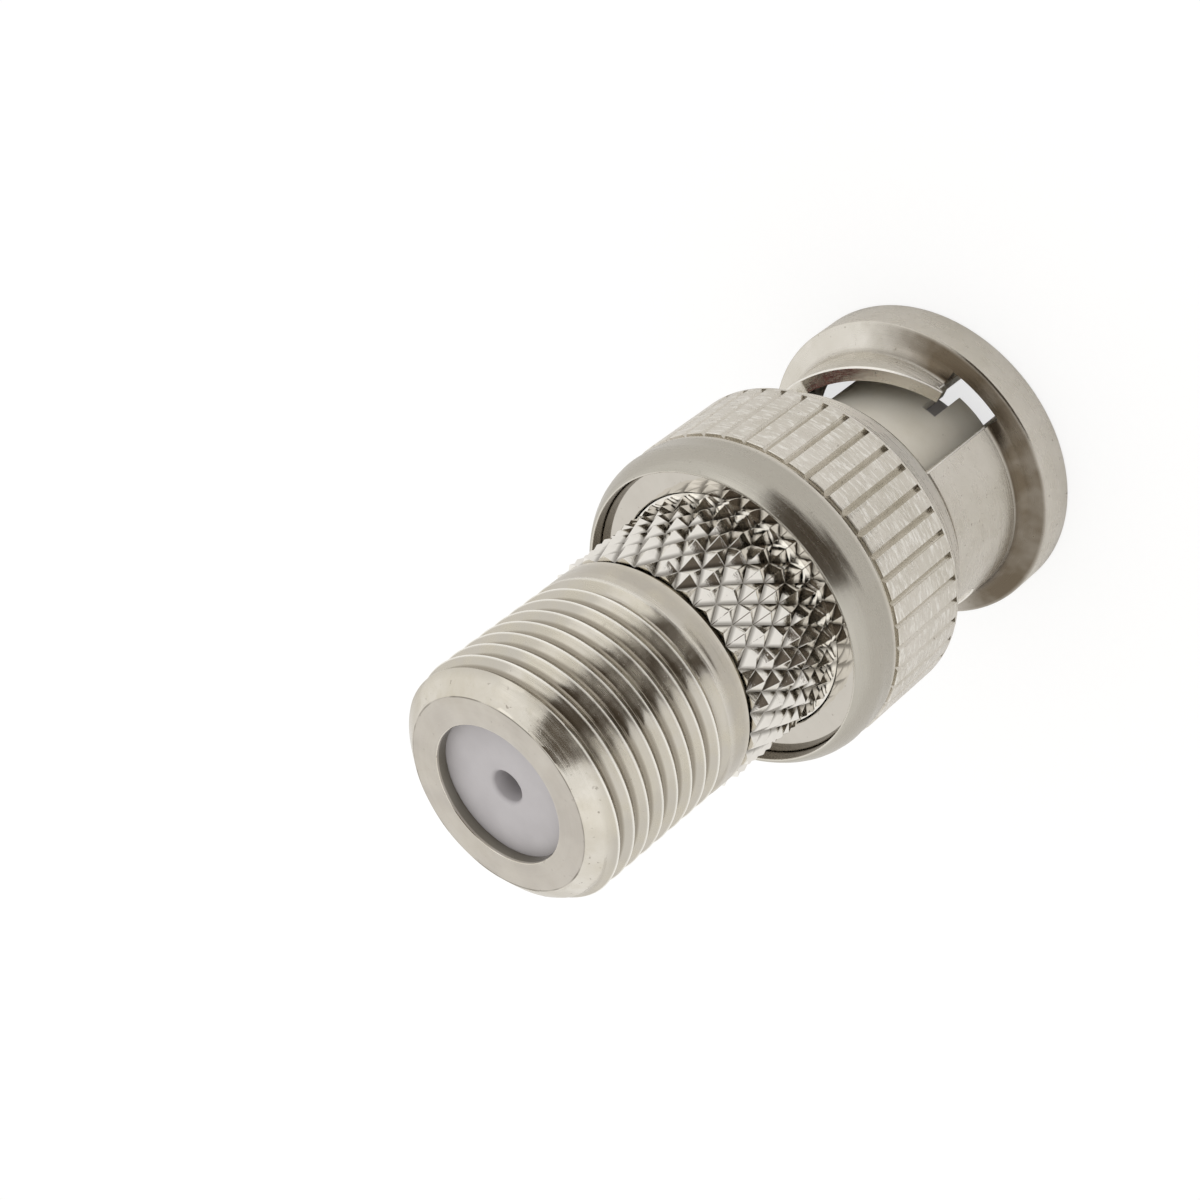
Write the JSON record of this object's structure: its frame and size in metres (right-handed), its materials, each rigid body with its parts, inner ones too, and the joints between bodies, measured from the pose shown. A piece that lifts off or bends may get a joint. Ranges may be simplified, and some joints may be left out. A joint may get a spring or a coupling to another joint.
{
  "type": "bnc to f coupler",
  "caption": "Coaxial adapter: bayonet plug with a knurled coupling nut at one end, threaded F jack at the other.",
  "frame": {"origin": "on the axis, in the plane of the coupling nut's front rim, on which the adapter stands", "axes": "+Z along the axis towards the F end; +X through one of the nut's two lock holes"},
  "size_m": [0.0134, 0.0134, 0.0268],
  "materials": {
    "nickel_body": "nickel-plated brass, bright turned",
    "nickel_nut": "nickel-plated brass, satin",
    "white_insulator": "moulded white plastic",
    "gold_contact": "gold-plated brass",
    "red_silicone": "dark red silicone",
    "spring_steel": "spring steel"
  },
  "bodies": {
    "body": {"body": "nickel_body", "outer_contact": "nickel_body", "bnc_insulator": "white_insulator", "centre_pin": "gold_contact", "gasket": "red_silicone", "f_insulator_cap": "white_insulator", "f_insulator_sleeve": "white_insulator", "f_socket": "gold_contact", "wave_washer_front": "spring_steel", "wave_washer_rear": "spring_steel"},
    "spring_ring": {"thrust_washer": "nickel_body"},
    "nut": {"coupling_nut": "nickel_nut", "rear_washer": "nickel_nut"}
  },
  "joints": [
    {"name": "nut_pull", "type": "slide", "parent": "body", "child": "spring_ring", "axis": [0, 0, -1], "range_m": [0, 0.0007], "stiffness_N_per_m": 1500, "springref_m": -0.0004, "deforming": ["wave_washer_front", "wave_washer_rear"]},
    {"name": "nut_turn", "type": "hinge", "parent": "spring_ring", "child": "nut", "pos_m": [0, 0, 0.0085], "axis": [0, 0, 1], "continuous": true}
  ]
}
